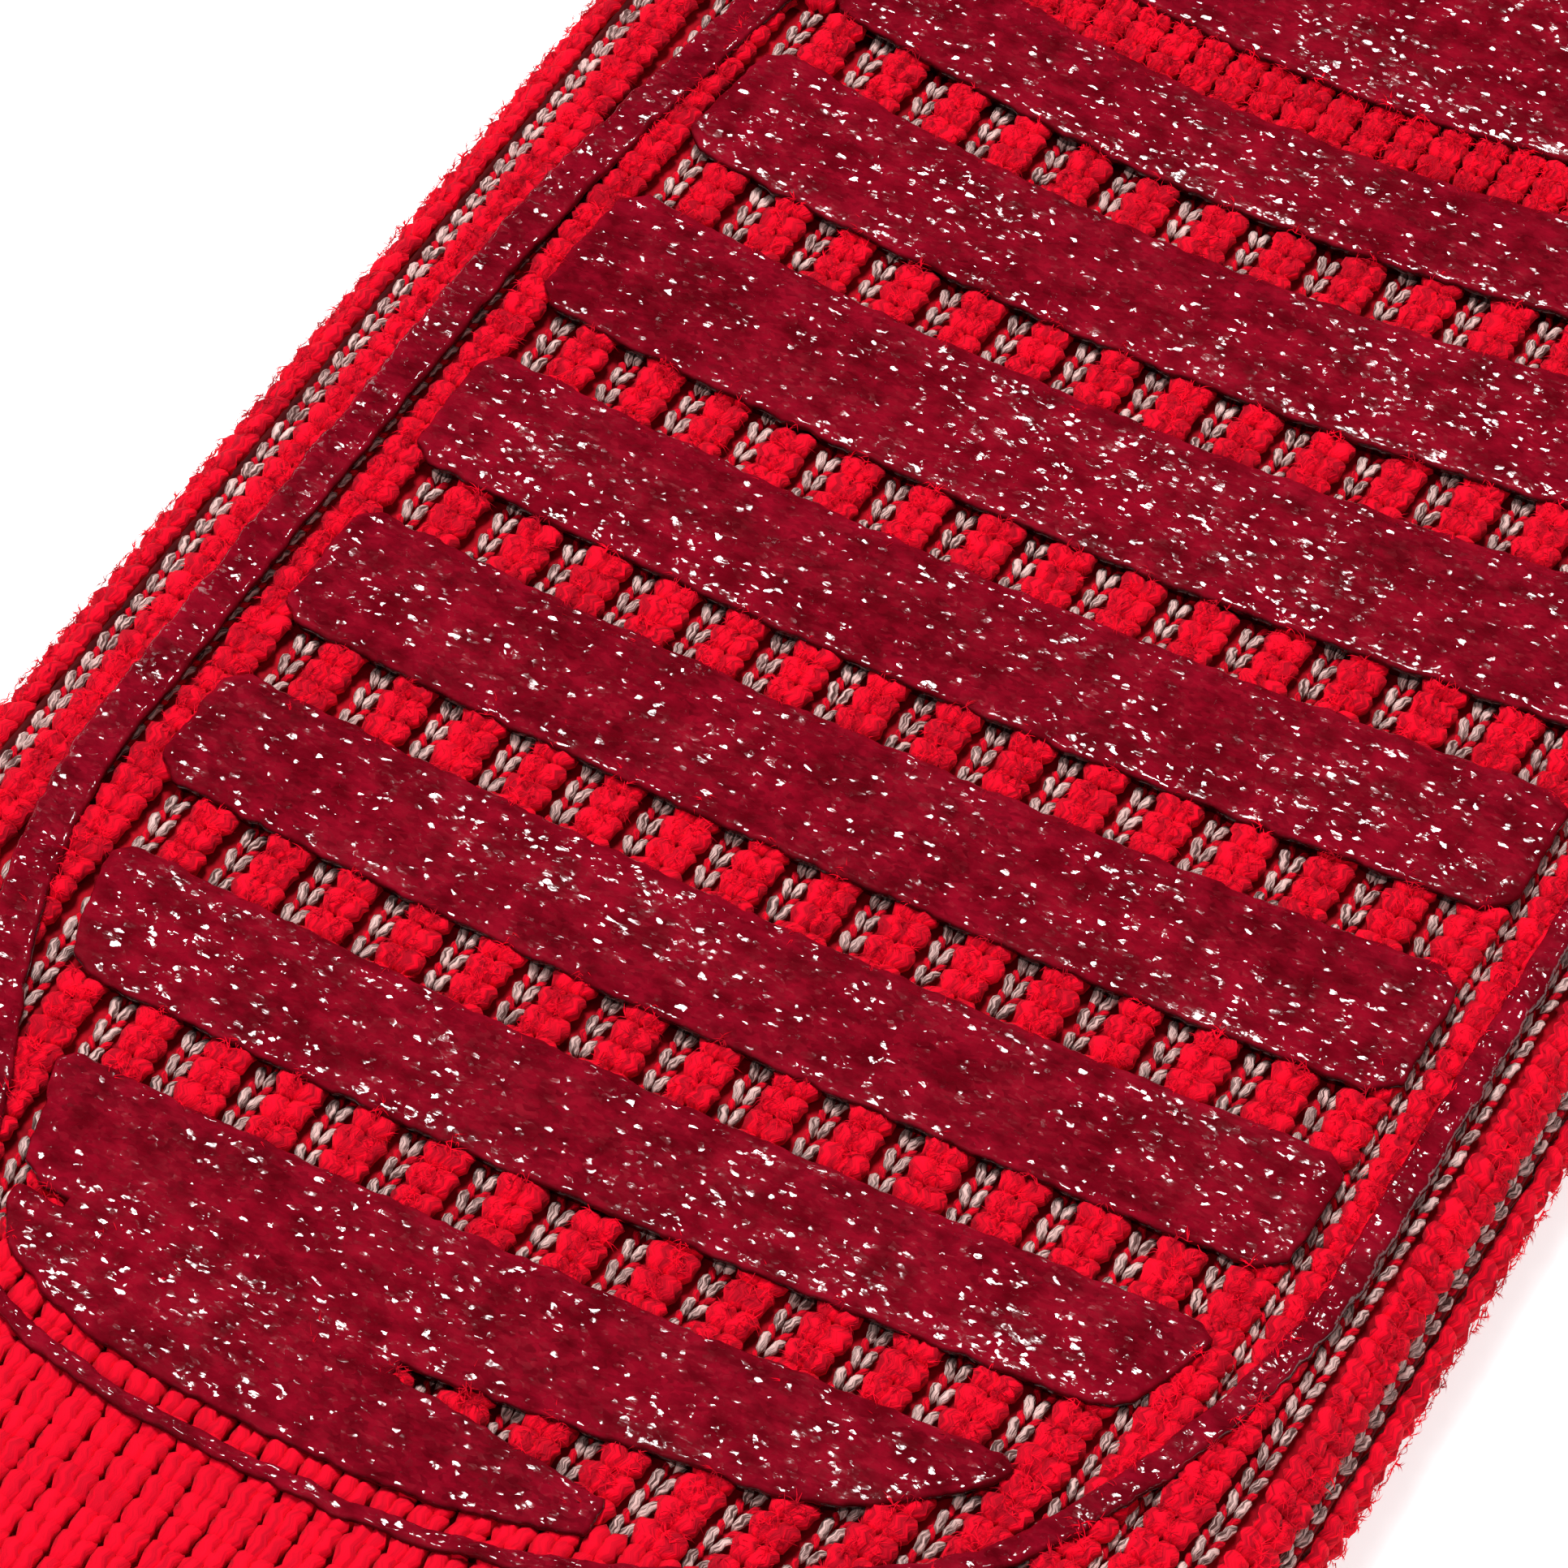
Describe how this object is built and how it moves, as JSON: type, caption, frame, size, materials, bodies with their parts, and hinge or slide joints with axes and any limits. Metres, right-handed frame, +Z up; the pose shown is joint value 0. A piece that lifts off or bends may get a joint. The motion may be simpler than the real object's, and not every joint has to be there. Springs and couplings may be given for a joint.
{
  "type": "non-slip slipper sock",
  "caption": "Chunky knitted slipper sock lying flat with its sole up: plain toe and heel, striped foot, ribbed cuff, and a printed rubber tread of cross bars inside an edge band.",
  "frame": {"origin": "middle of the sock's bounding box, on the surface that it lies on", "axes": "+X across the foot, +Y along the sock from the toe to the cuff, +Z up out of the sole"},
  "size_m": [0.0892, 0.3704, 0.0267],
  "materials": {
    "red_yarn": "soft fuzzy acrylic knit, matt",
    "striped_yarn": "soft fuzzy knit, red wales with thin heather grey wales between them",
    "grip_rubber": "glossy dark red latex print with fine bumps",
    "elastic": "dull covered elastic"
  },
  "bodies": {
    "root": {"toe_cap": "red_yarn", "toe_linking_seam": "red_yarn", "foot_tube": "striped_yarn", "heel_pocket": "red_yarn", "leg_tube": "striped_yarn", "ribbed_cuff": "red_yarn", "cuff_elastic": "elastic", "grip_band": "grip_rubber", "grip_toe_pad": "grip_rubber", "grip_bar_1": "grip_rubber", "grip_bar_2": "grip_rubber", "grip_bar_3": "grip_rubber", "grip_bar_4": "grip_rubber", "grip_bar_5": "grip_rubber", "grip_bar_6": "grip_rubber", "grip_bar_7": "grip_rubber", "grip_bar_8": "grip_rubber", "grip_heel_pad": "grip_rubber"}
  },
  "joints": []
}
